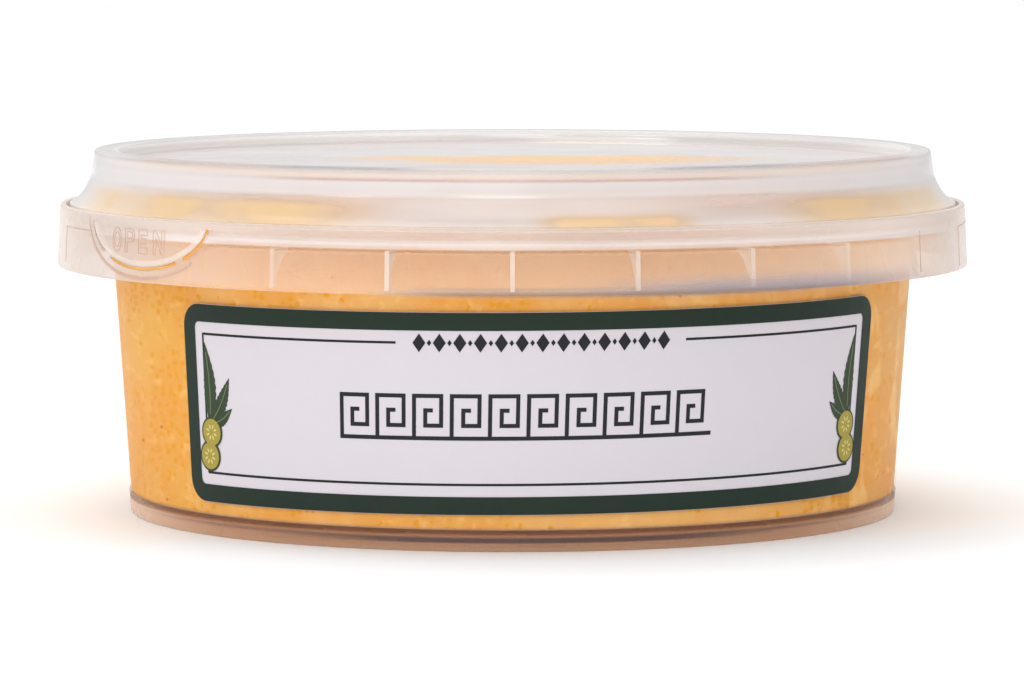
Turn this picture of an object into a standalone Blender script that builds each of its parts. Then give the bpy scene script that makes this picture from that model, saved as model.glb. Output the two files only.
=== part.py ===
"""A shallow round tub of orange spicy tzatziki dip, shut with its press-on lid.

The tub and the lid are thin, milky polypropylene. The tub has a raised floor on a foot ring,
a flange with a tamper skirt round its mouth, gussets under the flange and a tear tab in the skirt.
The lid has a raised stacking rim, a recessed panel and a flared apron that stands inside the skirt.
A printed paper label is wrapped round the front of the tub, and the dip fills it nearly to the lid.

The origin is at the centre of the foot, +Z is up, and the label faces -Y.
"""

import math

import bmesh
import bpy

MM = 0.001
TURN_STEPS = 72

# Gap between touching pieces, rounding of free edges and fillet of inside corners, in millimetres
GAP = 0.3
EDGE = 0.2
FILLET = 0.4

# Tub, in millimetres
FOOT_RADIUS = 49.7
WALL_SLOPE = 0.0695
WALL = 0.8
FLOOR_UNDER = 1.9
FLOOR_TOP = FLOOR_UNDER + WALL
FLOOR_FILLET = 2.0
TUB_TOP = 45.1
BEAD_RADIUS = 53.2
BEAD_BOTTOM = 43.4
FLANGE_TOP = 37.7
FLANGE_UNDER = FLANGE_TOP - WALL
SKIRT_TOP = 40.0
SKIRT_BOTTOM = 32.0
SKIRT_TOP_RADIUS = 58.6
SKIRT_BOTTOM_RADIUS = 59.0

# Gussets between flange and skirt, sunk into both by their bite
GUSSET_PITCH = 15
GUSSET_THICKNESS = 0.7
GUSSET_REACH = 3.0
GUSSET_LIFT = 0.4
GUSSET_BITE = 0.3

# Tear tab in the skirt, where 0 degrees faces -Y and positive angles turn towards +X
TAB_CENTRE = -51.5
TAB_HALF_ANGLE = 12.2
TAB_DEPTH = 6.3
TAB_SLOT = 0.4
TAB_LIP_INSET = 0.35
TAB_LIP_WIDTH = 0.6
TAB_LIP_HEIGHT = 0.3
TAB_LIP_ENDS = (12, 168)
TAB_BRIDGES = (4, 50, 128, 176)
TAB_BRIDGE_HALF = 4
NOTCH_DEPTH = 2.4
NOTCH_MARGIN = 2.0
CUT_MARGIN = 0.6

# Lid
LID_TOP = 46.9
PANEL_TOP = 45.15
LID_WALL = 0.8
RIM_INNER = 50.7
RIM_OUTER = 54.15
RIM_ROUND = 0.6
FLARE_START = (54.65, 43.6)
FLARE_BEND = (55.6, 40.9)
FLARE_END = (57.3, 40.15)
APRON_RADIUS = 57.4
APRON_BOTTOM = 38.3
UNDER_FLARE_END = (56.6, 39.45)
UNDER_FLARE_BEND = (55.0, 40.2)
UNDER_FLARE_START = (53.95, 42.5)
CATCH_BEAD = ((53.5, 42.95), (53.6, 43.4))

# Dip
DIP_STEPS = 60
DIP_LEVEL = 43.1
DIP_WAVE = 0.25
DENT_CENTRE = (5.0, -50.0)
DENT_SPREAD = 18.0
DENT_DEPTH = 2.1
DIP_RINGS = 10
DIP_TOP_ROUND = 0.2

# Label
LABEL_BOTTOM = 4.6
LABEL_TOP = 29.5
LABEL_CENTRE = 4.4
LABEL_HALF_ANGLE = 55.6
LABEL_CORNER = 3.0
LABEL_THICKNESS = 0.2
LABEL_CORNER_COLUMNS = 4
LABEL_STRAIGHT_COLUMNS = 28


def wall_outside(z):
    """Outer radius of the tub's tapered wall at height z."""
    return FOOT_RADIUS + WALL_SLOPE * z


def wall_inside(z):
    return wall_outside(z) - WALL


def skirt_outside(z):
    share = (SKIRT_TOP - z) / (SKIRT_TOP - SKIRT_BOTTOM)
    return SKIRT_TOP_RADIUS + share * (SKIRT_BOTTOM_RADIUS - SKIRT_TOP_RADIUS)


def skirt_inside(z):
    return skirt_outside(z) - WALL


def on_cylinder(angle_deg, radius, z):
    """Point at an angle from -Y, turning towards +X, in metres."""
    angle = math.radians(angle_deg)
    return (radius * math.sin(angle) * MM, -radius * math.cos(angle) * MM, z * MM)


def arc(centre, radius, start_deg, end_deg, pieces):
    """Points on a circle of the profile plane, both ends included."""
    points = []
    for i in range(pieces + 1):
        angle = math.radians(start_deg + (end_deg - start_deg) * i / pieces)
        points.append(
            (centre[0] + radius * math.cos(angle), centre[1] + radius * math.sin(angle))
        )
    return points


def bend_curve(start, bend, end, pieces):
    """Points on a quadratic curve from start to end, pulled towards bend."""
    points = []
    for i in range(pieces + 1):
        t = i / pieces
        points.append(
            tuple(
                (1 - t) ** 2 * a + 2 * t * (1 - t) * b + t**2 * c
                for a, b, c in zip(start, bend, end)
            )
        )
    return points


def new_object(name, mesh, collection):
    obj = bpy.data.objects.new(name, mesh)
    collection.objects.link(obj)
    return obj


def turned(name, profile, collection, steps=TURN_STEPS):
    """A solid of revolution about Z. The profile, in millimetres, runs down its outer side."""
    mesh = bpy.data.meshes.new(name)
    points = [(r * MM, 0, z * MM) for r, z in profile]
    mesh.from_pydata(points, [(i, i + 1) for i in range(len(points) - 1)], [])
    obj = new_object(name, mesh, collection)
    screw = obj.modifiers.new("turn", "SCREW")
    screw.axis = "Z"
    screw.steps = steps
    screw.render_steps = steps
    screw.use_merge_vertices = True
    screw.merge_threshold = 0.00001
    screw.use_smooth_shade = True
    return obj


def mapped_sheet(name, columns, rows, place, collection, thickness, offset):
    """A grid whose unit square is placed in space by a function, thickened into a solid."""
    mesh = bpy.data.meshes.new(name)
    sheet = bmesh.new()
    bmesh.ops.create_grid(sheet, x_segments=columns, y_segments=rows, size=0.5)
    for vert in sheet.verts:
        vert.co = place(vert.co.x + 0.5, vert.co.y + 0.5)
    sheet.to_mesh(mesh)
    sheet.free()
    mesh.shade_smooth()
    obj = new_object(name, mesh, collection)
    solidify = obj.modifiers.new("thickness", "SOLIDIFY")
    solidify.thickness = thickness * MM
    solidify.offset = offset
    solidify.use_even_offset = True
    return obj


def hide_helper(obj):
    obj.hide_render = True
    obj.display_type = "WIRE"
    return obj


def boolean(obj, operation, collection):
    modifier = obj.modifiers.new(operation.lower(), "BOOLEAN")
    modifier.operation = operation
    modifier.operand_type = "COLLECTION"
    modifier.collection = collection
    modifier.solver = "EXACT"


def finish_surface(obj, colour, roughness, transmission=0.0):
    material = bpy.data.materials.new(obj.name)
    material.use_nodes = True
    shader = material.node_tree.nodes["Principled BSDF"]
    shader.inputs["Base Color"].default_value = (*colour, 1)
    shader.inputs["Roughness"].default_value = roughness
    shader.inputs["Metallic"].default_value = 0
    shader.inputs["Transmission Weight"].default_value = transmission
    obj.data.materials.append(material)


def tub_profile():
    """Section of the tub: floor, inside of the wall, rim, trough, skirt, outside and foot."""
    fillet_z = FLOOR_TOP + FLOOR_FILLET
    fillet_centre = (wall_inside(fillet_z) - FLOOR_FILLET, fillet_z)
    floor = [(0, FLOOR_TOP)] + arc(fillet_centre, FLOOR_FILLET, -90, 0, 3)
    round_z = TUB_TOP - FILLET
    rim = [
        (wall_inside(round_z), round_z),
        (wall_inside(TUB_TOP) + EDGE / 2, TUB_TOP - EDGE / 2),
        (wall_inside(TUB_TOP) + FILLET, TUB_TOP),
        (BEAD_RADIUS - FILLET, TUB_TOP),
        (BEAD_RADIUS - EDGE / 2, TUB_TOP - EDGE / 2),
        (BEAD_RADIUS, round_z),
        (BEAD_RADIUS, BEAD_BOTTOM + FILLET),
        (wall_outside(BEAD_BOTTOM), BEAD_BOTTOM),
    ]
    trough = [
        (wall_outside(FLANGE_TOP + FILLET), FLANGE_TOP + FILLET),
        (wall_outside(FLANGE_TOP) + FILLET, FLANGE_TOP),
        (skirt_inside(FLANGE_TOP) - FILLET, FLANGE_TOP),
        (skirt_inside(FLANGE_TOP + FILLET), FLANGE_TOP + FILLET),
    ]
    skirt = [
        (skirt_inside(SKIRT_TOP), SKIRT_TOP - EDGE),
        (skirt_inside(SKIRT_TOP) + EDGE, SKIRT_TOP),
        (SKIRT_TOP_RADIUS - EDGE, SKIRT_TOP),
        (SKIRT_TOP_RADIUS, SKIRT_TOP - EDGE),
        (SKIRT_BOTTOM_RADIUS, SKIRT_BOTTOM + EDGE),
        (SKIRT_BOTTOM_RADIUS - EDGE, SKIRT_BOTTOM),
        (skirt_inside(SKIRT_BOTTOM) + EDGE, SKIRT_BOTTOM),
        (skirt_inside(SKIRT_BOTTOM), SKIRT_BOTTOM + EDGE),
        (skirt_inside(FLANGE_UNDER - FILLET), FLANGE_UNDER - FILLET),
        (skirt_inside(FLANGE_UNDER) - FILLET, FLANGE_UNDER),
    ]
    foot_inside = FOOT_RADIUS - WALL
    foot = [
        (wall_outside(FLANGE_UNDER) + FILLET, FLANGE_UNDER),
        (wall_outside(FLANGE_UNDER - FILLET), FLANGE_UNDER - FILLET),
        (wall_outside(EDGE), EDGE),
        (FOOT_RADIUS - EDGE, 0),
        (foot_inside + EDGE, 0),
        (foot_inside, EDGE),
        (foot_inside, FLOOR_UNDER - FILLET),
        (foot_inside - FILLET, FLOOR_UNDER),
        (0, FLOOR_UNDER),
    ]
    return floor + rim + trough + skirt + foot


def gusset(angle_deg, collection):
    """A thin triangular web in the corner under the flange, against the inside of the skirt."""
    half = GUSSET_THICKNESS / 2
    low = SKIRT_BOTTOM + GUSSET_LIFT
    inner = skirt_inside(FLANGE_UNDER) - GUSSET_REACH
    corners = [
        (skirt_inside(low) + GUSSET_BITE, low),
        (skirt_inside(FLANGE_UNDER) + GUSSET_BITE, FLANGE_UNDER + GUSSET_BITE),
        (inner, FLANGE_UNDER + GUSSET_BITE),
        (inner, FLANGE_UNDER - GUSSET_BITE),
        (skirt_inside(low) - EDGE, low),
    ]
    web = bmesh.new()
    face = web.faces.new([web.verts.new((-half * MM, -r * MM, z * MM)) for r, z in corners])
    raised = bmesh.ops.extrude_face_region(web, geom=[face])["geom"]
    moved = [part for part in raised if isinstance(part, bmesh.types.BMVert)]
    bmesh.ops.translate(web, verts=moved, vec=(2 * half * MM, 0, 0))
    bmesh.ops.recalc_face_normals(web, faces=web.faces)
    mesh = bpy.data.meshes.new("gusset")
    web.to_mesh(mesh)
    web.free()
    obj = new_object("gusset", mesh, collection)
    obj.rotation_euler.z = math.radians(angle_deg)
    return hide_helper(obj)


def tab_edge(turn_deg, inset):
    """Angle and height on the tab's half-oval edge; 0 turns at its left end, 180 at its right."""
    turn = math.radians(turn_deg)
    depth = TAB_DEPTH - inset
    half = TAB_HALF_ANGLE - math.degrees(inset / SKIRT_BOTTOM_RADIUS)
    return TAB_CENTRE - half * math.cos(turn), SKIRT_TOP - depth * math.sin(turn)


def tab_slot(start_deg, end_deg, collection):
    """Cutter for one stretch of the slot round the tab, between two bridges."""

    inner = SKIRT_TOP_RADIUS - WALL - CUT_MARGIN
    outer = SKIRT_BOTTOM_RADIUS + CUT_MARGIN

    def place(u, v):
        angle, z = tab_edge(start_deg + u * (end_deg - start_deg), 0)
        return on_cylinder(angle, inner + v * (outer - inner), z)

    columns = max(3, round((end_deg - start_deg) / 9))
    cutter = mapped_sheet("tab_slot", columns, 1, place, collection, TAB_SLOT, 0)
    return hide_helper(cutter)


def tab_lip(collection):
    """Raised lip along the tab's lower edge, for a fingertip to catch."""

    start, end = TAB_LIP_ENDS

    def place(u, v):
        angle, z = tab_edge(start + u * (end - start), TAB_LIP_INSET + v * TAB_LIP_WIDTH)
        return on_cylinder(angle, skirt_outside(z) + TAB_LIP_HEIGHT, z)

    depth = TAB_LIP_HEIGHT + WALL / 2
    lip = mapped_sheet("tab_lip", 20, 1, place, collection, depth, -1)
    return hide_helper(lip)


def flange_notch(collection):
    """Cutter that frees the tab from the flange behind it."""

    def place(u, v):
        angle = TAB_CENTRE + (2 * u - 1) * (TAB_HALF_ANGLE - NOTCH_MARGIN)
        radius = skirt_inside(FLANGE_TOP) - (1 - v) * NOTCH_DEPTH
        return on_cylinder(angle, radius, (FLANGE_TOP + FLANGE_UNDER) / 2)

    cutter = mapped_sheet("flange_notch", 5, 1, place, collection, 3 * WALL, 0)
    return hide_helper(cutter)


def make_tub(parts, additions, cutters):
    tub = turned("tub", tub_profile(), parts)
    tab_left = TAB_CENTRE - TAB_HALF_ANGLE
    tab_right = TAB_CENTRE + TAB_HALF_ANGLE
    for turn in range(-180, 180, GUSSET_PITCH):
        if not tab_left < turn < tab_right:
            gusset(turn, additions)
    tab_lip(additions)
    for before, after in zip(TAB_BRIDGES, TAB_BRIDGES[1:]):
        tab_slot(before + TAB_BRIDGE_HALF, after - TAB_BRIDGE_HALF, cutters)
    flange_notch(cutters)
    boolean(tub, "UNION", additions)
    boolean(tub, "DIFFERENCE", cutters)
    finish_surface(tub, (0.86, 0.80, 0.74), 0.35, 0.6)
    return tub


def lid_profile():
    """Section of the lid: panel, stacking rim, flare and apron, then back along the underside."""
    top = [
        (0, PANEL_TOP),
        (RIM_INNER - FILLET, PANEL_TOP),
        (RIM_INNER, PANEL_TOP + FILLET),
        (RIM_INNER + EDGE, LID_TOP - FILLET),
        (RIM_INNER + RIM_ROUND, LID_TOP),
    ]
    corner = arc((RIM_OUTER - RIM_ROUND, LID_TOP - RIM_ROUND), RIM_ROUND, 90, 0, 3)
    flare = bend_curve(FLARE_START, FLARE_BEND, FLARE_END, 5)
    apron = [
        (APRON_RADIUS, FLARE_END[1] - EDGE),
        (APRON_RADIUS, APRON_BOTTOM + EDGE),
        (APRON_RADIUS - EDGE, APRON_BOTTOM),
        (APRON_RADIUS - LID_WALL + EDGE, APRON_BOTTOM),
        (APRON_RADIUS - LID_WALL, APRON_BOTTOM + EDGE),
    ]
    under_flare = bend_curve(UNDER_FLARE_END, UNDER_FLARE_BEND, UNDER_FLARE_START, 4)
    rim_under = LID_TOP - LID_WALL
    panel_under = PANEL_TOP - LID_WALL
    rim_wall = RIM_INNER + LID_WALL
    channel = [
        (BEAD_RADIUS + GAP, TUB_TOP + FILLET),
        (BEAD_RADIUS - EDGE, rim_under),
        (rim_wall + FILLET, rim_under),
        (rim_wall, rim_under - FILLET),
        (rim_wall, panel_under + GAP),
        (rim_wall - GAP, panel_under),
        (0, panel_under),
    ]
    return top + corner + flare + apron + under_flare + list(CATCH_BEAD) + channel


def make_lid(parts):
    lid = turned("lid", lid_profile(), parts)
    finish_surface(lid, (0.86, 0.83, 0.81), 0.3, 0.7)
    return lid


def dip_relief(x, y):
    """Height of the dip's uneven surface over its level: soft waves, and a dent at the front."""
    away = (x - DENT_CENTRE[0]) ** 2 + (y - DENT_CENTRE[1]) ** 2
    dent = DENT_DEPTH * math.exp(-away / (2 * DENT_SPREAD**2))
    swell = math.sin(0.11 * x + 0.9) * math.cos(0.09 * y - 0.4)
    ripple = math.sin(0.23 * x - 0.17 * y + 2.0)
    return DIP_WAVE * (swell + ripple / 2) - dent


def make_dip(parts):
    """The dip fills the tub nearly to the lid, with soft waves and a dent at the front."""
    bottom = FLOOR_TOP + GAP
    fillet_z = FLOOR_TOP + FLOOR_FILLET
    fillet_top = wall_inside(fillet_z) - GAP
    edge = wall_inside(DIP_LEVEL) - GAP
    surface = [(edge * i / DIP_RINGS, DIP_LEVEL) for i in range(DIP_RINGS)]
    side = [
        (edge, DIP_LEVEL - DIP_TOP_ROUND),
        (fillet_top, fillet_z),
        (fillet_top - FLOOR_FILLET + GAP, bottom),
        (0, bottom),
    ]
    dip = turned("dip", surface + side, parts, DIP_STEPS)
    graph = bpy.context.evaluated_depsgraph_get()
    solid = bpy.data.meshes.new_from_object(dip.evaluated_get(graph))
    dip.modifiers.clear()
    dip.data = solid
    solid.name = "dip"
    for vert in solid.vertices:
        if vert.co.z > (DIP_LEVEL - 2 * DIP_TOP_ROUND) * MM:
            vert.co.z += dip_relief(vert.co.x / MM, vert.co.y / MM) * MM
    finish_surface(dip, (0.80, 0.40, 0.13), 0.5)
    return dip


def label_columns(half_width):
    """Distances from the label's middle, with columns bunched in its rounded ends."""
    straight = half_width - LABEL_CORNER
    ends = []
    for i in range(LABEL_CORNER_COLUMNS):
        turn = math.pi / 2 * i / LABEL_CORNER_COLUMNS
        ends.append(half_width - LABEL_CORNER * (1 - math.cos(turn)))
    count = LABEL_STRAIGHT_COLUMNS
    middle = [straight * (2 * i / count - 1) for i in range(count + 1)]
    return [-x for x in ends] + middle + ends[::-1]


def make_label(parts):
    """Paper label wrapped round the tapered wall, with rounded corners."""
    middle_z = (LABEL_TOP + LABEL_BOTTOM) / 2
    half_height = (LABEL_TOP - LABEL_BOTTOM) / 2
    radius = wall_outside(middle_z) + GAP
    half_width = math.radians(LABEL_HALF_ANGLE) * radius
    columns = label_columns(half_width)

    def place(u, v):
        distance = columns[round(u * (len(columns) - 1))]
        into_corner = max(0.0, abs(distance) - (half_width - LABEL_CORNER))
        cut = LABEL_CORNER - math.sqrt(max(0.0, LABEL_CORNER**2 - into_corner**2))
        z = middle_z + (2 * v - 1) * (half_height - cut)
        angle = LABEL_CENTRE + math.degrees(distance / radius)
        return on_cylinder(angle, wall_outside(z) + GAP, z)

    count = len(columns) - 1
    label = mapped_sheet("label", count, 3, place, parts, LABEL_THICKNESS, 1)
    finish_surface(label, (0.75, 0.72, 0.75), 0.4)
    return label


def make_collection(name):
    collection = bpy.data.collections.new(name)
    bpy.context.scene.collection.children.link(collection)
    return collection


def main():
    for obj in list(bpy.data.objects):
        bpy.data.objects.remove(obj)
    parts = make_collection("tzatziki_tub")
    additions = make_collection("tub_additions")
    cutters = make_collection("tub_cutters")
    make_tub(parts, additions, cutters)
    make_lid(parts)
    make_dip(parts)
    make_label(parts)


main()
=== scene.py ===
"""Looks of a shut plastic tub of spicy tzatziki dip.

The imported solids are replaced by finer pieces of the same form: a milky tub and lid of moulded
polypropylene, the orange dip inside them and the paper label. The label's inks, the webs under
the flange, the tear tab's lip and marks and the dip in its slots are pieces of their own.

Sizes are in millimetres until a point is placed. The front of the tub faces -Y.
"""

import math

import bmesh
import bpy
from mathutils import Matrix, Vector, noise


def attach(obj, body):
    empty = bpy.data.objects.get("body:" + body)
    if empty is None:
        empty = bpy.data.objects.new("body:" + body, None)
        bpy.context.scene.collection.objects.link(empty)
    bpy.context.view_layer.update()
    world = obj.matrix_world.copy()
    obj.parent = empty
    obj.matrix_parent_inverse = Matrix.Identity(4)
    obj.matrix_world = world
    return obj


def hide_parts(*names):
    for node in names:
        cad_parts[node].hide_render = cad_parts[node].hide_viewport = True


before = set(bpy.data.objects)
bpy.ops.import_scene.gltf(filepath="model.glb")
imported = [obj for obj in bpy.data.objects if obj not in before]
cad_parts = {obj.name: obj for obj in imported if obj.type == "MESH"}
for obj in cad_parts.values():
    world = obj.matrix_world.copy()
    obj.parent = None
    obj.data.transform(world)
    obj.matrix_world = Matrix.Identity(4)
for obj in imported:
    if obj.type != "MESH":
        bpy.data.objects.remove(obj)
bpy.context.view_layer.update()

MM = 0.001
TURN_STEPS = 240
LINE_STEP = 1.2

# How far a web runs into the plastic that it braces.
OVERLAP = 0.3

# Tub
FOOT_RADIUS = 49.7
WALL_SLOPE = 0.0695
WALL = 0.8
FLOOR_UNDER = 1.9
FLOOR_TOP = FLOOR_UNDER + WALL
FLOOR_FILLET = 2.0
TUB_TOP = 45.1
BEAD_RADIUS = 53.2
BEAD_BOTTOM = 43.4
FLANGE_TOP = 37.7
FLANGE_UNDER = FLANGE_TOP - WALL
SKIRT_TOP = 40.0
SKIRT_BOTTOM = 32.0
SKIRT_TOP_RADIUS = 58.6
SKIRT_BOTTOM_RADIUS = 59.0
GUSSET_PITCH = 15
GUSSET_THICKNESS = 0.56
GUSSET_REACH = 3.0

# Tear tab
TAB_CENTRE = -51.5
TAB_HALF_ANGLE = 12.2
TAB_DEPTH = 6.3
TAB_SLOT = 0.4
TAB_BRIDGES = (4, 50, 128, 176)
TAB_BRIDGE_HALF = 4
NOTCH_REACH = 2.4
MARK_LIFT = 0.05
MARK_WIDTH = 0.12
MARK_THICKNESS = 0.1
RIDGE_OUTSET = 1.15
SLOT_FILLS = ((58, 124, 0.26), (131, 172, 0.42))
LETTER_CENTRE = (-52.3, 37.1)
LETTER_HEIGHT = 3.0
LETTER_WIDTH = 2.15
LETTER_PITCH = 3.05

# Lid
LID_TOP = 46.9
PANEL_TOP = 45.15
RIM_INNER = 50.7
RIM_OUTER = 54.15
APRON_RADIUS = 57.4
APRON_BOTTOM = 38.3
APRON_SHELF = 39.5
FLARE_TOP = (54.65, 43.6)

# Dip
DIP_LEVEL = 43.1
DIP_WAVE = 0.25
DENT_CENTRE = (5.0, -50.0)
DENT_SPREAD = 18.0
DENT_DEPTH = 2.1
DIP_INTO_WALL = 0.55
DIP_RINGS = 70
DIP_CLEARANCE = 0.9

# Label
LABEL_BOTTOM = 4.6
LABEL_TOP = 29.5
LABEL_MIDDLE = (LABEL_BOTTOM + LABEL_TOP) / 2
LABEL_HALF_HEIGHT = (LABEL_TOP - LABEL_BOTTOM) / 2
LABEL_CENTRE = 3.9
LABEL_HALF_ANGLE = 56.4
LABEL_CORNER = 3.0
LABEL_LIFT = 0.05
LABEL_THICKNESS = 0.12
PRINT_THICKNESS = 0.03
BORDER_WIDTH = 2.25
BORDER_CORNER = 0.8
RULE_INSET = 3.75
RULE_WIDTH = 0.3
RULE_HALF_GAP = 17.8
LOZENGE_PITCH = 2.5
LABEL_TILT = 0.0055
LABEL_LEAN = 0.02
LABEL_COLUMNS = 80
CORNER_COLUMNS = 8
LABEL_ROWS = 6

# Materials. Heights in their colour ramps run from 0 to RAMP_TOP.
RAMP_TOP = 48.0
EDGE_POWER = 1.6
GLOW_SHARE = 0.6
SMEAR_CENTRE = (5.8, 5.0)
SMEAR_HALF = (23.0, 10.5)
SMEAR_EDGE = 0.34
SMEAR_POWER = 2.4
SMEAR_WOBBLE = 1.1
FLARE_STRETCHES = (
    (-47.0, 35.0, 18.0), (57.0, 27.0, 16.0), (150.0, 40.0, 16.0), (-140.0, 32.0, 16.0),
)

# Camera, light and floor, in metres
CAMERA_PLACE = (-0.000065, -0.727, 0.0821)
CAMERA_PITCH = 85.251
CAMERA_LENS = 196.84
CAMERA_SENSOR = 36
FLOOR_HALF = 6.0
TUB_MIDDLE = (0, 0, 0.025)
SOFTBOXES = (
    ("front", (-0.35, -1.15, 0.3), 0.9, 0.6, 1.3),
    ("strip", (-0.035, -0.89, 0.48), 0.34, 0.07, 1.0),
    ("side_strip", (-0.62, -0.64, 0.48), 0.16, 0.07, 0.5),
    ("top", (-0.2, 0.3, 0.9), 0.7, 0.4, 1.5),
)


def wall_outside(z):
    return FOOT_RADIUS + WALL_SLOPE * z


def wall_inside(z):
    return wall_outside(z) - WALL


def skirt_outside(z):
    share = (SKIRT_TOP - z) / (SKIRT_TOP - SKIRT_BOTTOM)
    return SKIRT_TOP_RADIUS + share * (SKIRT_BOTTOM_RADIUS - SKIRT_TOP_RADIUS)


def skirt_inside(z):
    return skirt_outside(z) - WALL


# Widths on the label are measured at this radius.
LABEL_RADIUS = wall_outside(LABEL_MIDDLE) + 0.3
LABEL_HALF_WIDTH = math.radians(LABEL_HALF_ANGLE) * LABEL_RADIUS


def on_cylinder(angle_deg, radius, z):
    """Point at an angle from -Y, turning towards +X, in metres."""
    angle = math.radians(angle_deg)
    return Vector((radius * math.sin(angle), -radius * math.cos(angle), z)) * MM


def on_skirt(angle_deg, z, lift):
    return on_cylinder(angle_deg, skirt_outside(z) + lift, z)


def on_label(across, up, lift):
    """Point on the label's face, from its middle, lifted off it along the radius."""
    z = LABEL_MIDDLE + up + across * LABEL_TILT
    angle = LABEL_CENTRE + math.degrees((across + up * LABEL_LEAN) / LABEL_RADIUS)
    return on_cylinder(angle, wall_outside(z) + LABEL_LIFT + LABEL_THICKNESS + lift, z)


# Making meshes


def bend_curve(start, bend, end, pieces):
    """Points on a quadratic curve from start to end, pulled towards bend."""
    def point(t):
        weights = ((1 - t) ** 2, 2 * t * (1 - t), t**2)
        return tuple(sum(w * c for w, c in zip(weights, place)) for place in zip(start, bend, end))

    return [point(i / pieces) for i in range(pieces + 1)]


def rounded(corners, pieces=4):
    """Profile through corners (r, z, fillet), each but the first and last rounded off."""
    points = [corners[0][:2]]
    for before, corner, after in zip(corners, corners[1:], corners[2:]):
        place, fillet = Vector(corner[:2]), corner[2]
        start = place + (Vector(before[:2]) - place).normalized() * fillet
        end = place + (Vector(after[:2]) - place).normalized() * fillet
        points += bend_curve(start, place, end, pieces)
    points.append(corners[-1][:2])
    return points


def new_object(name, mesh):
    obj = bpy.data.objects.new(name, mesh)
    bpy.context.scene.collection.objects.link(obj)
    return obj


def apply_modifiers(obj):
    graph = bpy.context.evaluated_depsgraph_get()
    mesh = bpy.data.meshes.new_from_object(obj.evaluated_get(graph))
    obj.modifiers.clear()
    obj.data = mesh
    return obj


def turned(name, profile):
    """A solid of revolution about Z. The profile runs down its outer side."""
    mesh = bpy.data.meshes.new(name)
    points = [(r * MM, 0, z * MM) for r, z in profile]
    mesh.from_pydata(points, [(i, i + 1) for i in range(len(points) - 1)], [])
    obj = new_object(name, mesh)
    screw = obj.modifiers.new("turn", "SCREW")
    screw.axis = "Z"
    screw.steps = screw.render_steps = TURN_STEPS
    screw.use_merge_vertices = True
    screw.merge_threshold = 0.00001
    return apply_modifiers(obj)


def written(shape, mesh):
    """Writes a bmesh into the mesh, and frees it."""
    shape.to_mesh(mesh)
    shape.free()
    return mesh


def strips_mesh(strips):
    """A mesh of quad strips, each given as two rails of equally many points in space."""
    points, faces = [], []
    for left, right in strips:
        first = len(points)
        for a, b in zip(left, right):
            points += [a, b]
        for i in range(len(left) - 1):
            k = first + 2 * i
            faces.append((k, k + 1, k + 3, k + 2))
    mesh = bpy.data.meshes.new("strips")
    mesh.from_pydata(points, [], faces)
    tidy = bmesh.new()
    tidy.from_mesh(mesh)
    bmesh.ops.remove_doubles(tidy, verts=tidy.verts, dist=0.000001)
    return written(tidy, mesh)


def skin(name, strips, thickness, offset=-1):
    """Strips of skin, thickened inwards from the faces that they show, or both ways at 0."""
    obj = new_object(name, strips_mesh(strips))
    solidify = obj.modifiers.new("thickness", "SOLIDIFY")
    solidify.thickness = thickness * MM
    solidify.offset = offset
    return apply_modifiers(obj)


def grid_strips(columns, rows, place):
    """The strips of a grid whose unit square is placed in space by a function."""
    def row(j):
        return [place(i / columns, j / rows) for i in range(columns + 1)]

    return [(row(j + 1), row(j)) for j in range(rows)]


def ribbon_rails(path, width, closed=False):
    """The two rails of a flat line of even width along a path of (across, up) points."""
    points = [Vector(p) for p in path]
    left, right = [], []
    last = len(points) - 1
    for i, point in enumerate(points):
        before = points[i - 1] if i or closed else None
        after = points[(i + 1) % len(points)] if i < last or closed else None
        normals = []
        for start, end in ((before, point), (point, after)):
            if start is not None and end is not None and (end - start).length > 0:
                along = (end - start).normalized()
                normals.append(Vector((-along.y, along.x)))
        side = sum(normals, Vector((0, 0))).normalized()
        reach = width / 2 / max(0.4, side.dot(normals[0]))
        left.append(point + side * reach)
        right.append(point - side * reach)
    if closed:
        left.append(left[0])
        right.append(right[0])
    return left, right


def dense(path, step, closed=False):
    """The path with points added so that none are further apart than step."""
    points = [Vector(p) for p in path]
    if closed:
        points.append(points[0])
    out = [points[0]]
    for start, end in zip(points, points[1:]):
        pieces = max(1, math.ceil((end - start).length / step))
        out += [start.lerp(end, (i + 1) / pieces) for i in range(pieces)]
    return out[:-1] if closed else out


def placed_strips(rails, place):
    return [([place(p) for p in left], [place(p) for p in right]) for left, right in rails]


def smooth(obj, angle_deg=35):
    obj.data.shade_smooth()
    obj.data.set_sharp_from_angle(angle=math.radians(angle_deg))
    return obj


def cut_away(obj, others):
    """Cuts other objects away, which are then removed."""
    collection = bpy.data.collections.new("cutters")
    for other in others:
        collection.objects.link(other)
    modifier = obj.modifiers.new("cut", "BOOLEAN")
    modifier.operation = "DIFFERENCE"
    modifier.operand_type = "COLLECTION"
    modifier.collection = collection
    modifier.solver = "EXACT"
    apply_modifiers(obj)
    for other in others:
        bpy.data.objects.remove(other)
    bpy.data.collections.remove(collection)


def joined(name, objects):
    """One object from several, which are then removed."""
    whole = bmesh.new()
    for obj in objects:
        part = obj.data.copy()
        part.transform(obj.matrix_basis)
        whole.from_mesh(part)
        bpy.data.meshes.remove(part)
        bpy.data.objects.remove(obj)
    return new_object(name, written(whole, bpy.data.meshes.new(name)))


def finish_piece(obj, material, node=None):
    obj.data.materials.clear()
    obj.data.materials.append(material)
    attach(obj, "root")
    if node:
        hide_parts(node)
    return obj


# The tub


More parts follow.
